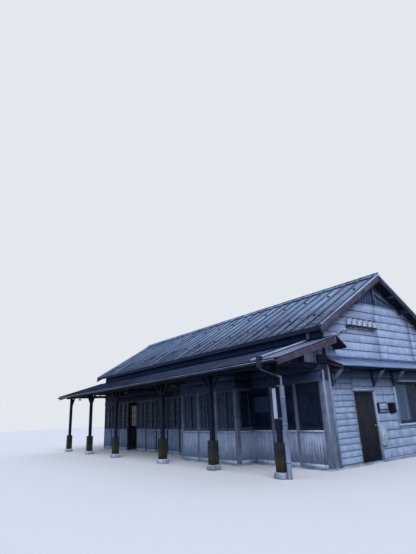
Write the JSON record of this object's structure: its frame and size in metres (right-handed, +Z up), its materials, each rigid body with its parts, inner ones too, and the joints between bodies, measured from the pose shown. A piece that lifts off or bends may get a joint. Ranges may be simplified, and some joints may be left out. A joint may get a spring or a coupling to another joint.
{
  "type": "railway station building",
  "caption": "Small gabled timber station house with a post-carried platform canopy along its front, a projecting office bay, windows all round and a hinged gable door under a pent roof.",
  "frame": {"origin": "middle of the house walls at platform level, on the underside of the floor slab", "axes": "+X along the platform towards the gable with the door, +Y from the platform into the house, +Z up"},
  "size_m": [15.66, 8.215, 5.4841],
  "materials": {
    "concrete": "rough, weathered",
    "brown_timber": "dark brown stain, weathered",
    "white_boards": "white paint, chalky and worn",
    "dark_boards": "unpainted, greyed dark",
    "grey_paint": "light grey paint, worn",
    "aged_sash": "grey-brown paint, worn",
    "window_glass": "clear, dusty",
    "roof_sheet": "blue-grey, weathered with streaks",
    "red_brown_board": "red-brown stain, faded",
    "mossy_timber": "brown with green algae",
    "grey_gutter": "light grey, dull",
    "door_brown": "dark brown paint",
    "knob_metal": "dull metal",
    "box_grey": "light grey paint",
    "sign_white": "white enamel",
    "rack_metal": "galvanised, with white insulators",
    "lamp_white": "white enamel"
  },
  "bodies": {
    "house": {"floor_slab": "concrete", "front_posts": "brown_timber", "front_dado": "white_boards", "front_upper_wall": "dark_boards", "front_windows": "aged_sash", "front_glass": "window_glass", "bay_posts": "grey_paint", "bay_dado": "white_boards", "bay_upper_wall": "dark_boards", "bay_windows": "grey_paint", "bay_glass": "window_glass", "room_posts": "grey_paint", "room_dado": "white_boards", "room_upper_wall": "dark_boards", "room_windows": "grey_paint", "room_glass": "window_glass", "near_gable_front": "white_boards", "near_gable_rear": "white_boards", "near_gable_top": "white_boards", "near_peak": "dark_boards", "far_gable_wall": "white_boards", "far_peak": "dark_boards", "gable_windows": "aged_sash", "gable_glass": "window_glass", "rear_posts": "brown_timber", "rear_dado": "white_boards", "rear_upper_wall": "white_boards", "rear_windows": "aged_sash", "rear_glass": "window_glass", "purlins": "brown_timber", "front_rafters": "brown_timber", "rear_rafters": "brown_timber", "front_roof": "roof_sheet", "rear_roof": "roof_sheet", "ridge_cap": "roof_sheet", "bargeboards": "red_brown_board", "canopy_bases": "concrete", "canopy_sleeves": "mossy_timber", "canopy_posts": "brown_timber", "canopy_beam": "brown_timber", "canopy_ties": "brown_timber", "canopy_braces": "brown_timber", "canopy_rafters": "brown_timber", "canopy_roof": "roof_sheet", "canopy_return": "roof_sheet", "canopy_bargeboards": "red_brown_board", "canopy_gutter": "grey_gutter", "downpipe": "grey_gutter", "end_infill": "white_boards", "pent_roof": "roof_sheet", "pent_brackets": "red_brown_board", "gable_door_frame": "grey_paint", "wall_boxes": "box_grey", "sign_plate": "sign_white", "insulator_rack": "rack_metal", "lamps": "lamp_white"},
    "door_leaf": {"gable_door": "door_brown", "door_knob": "knob_metal"}
  },
  "joints": [
    {"name": "door_hinge", "type": "hinge", "parent": "house", "child": "door_leaf", "pos_m": [7.294, -1.748, 0.97], "axis": [0, 0, -1], "range_deg": [0, 100]}
  ]
}
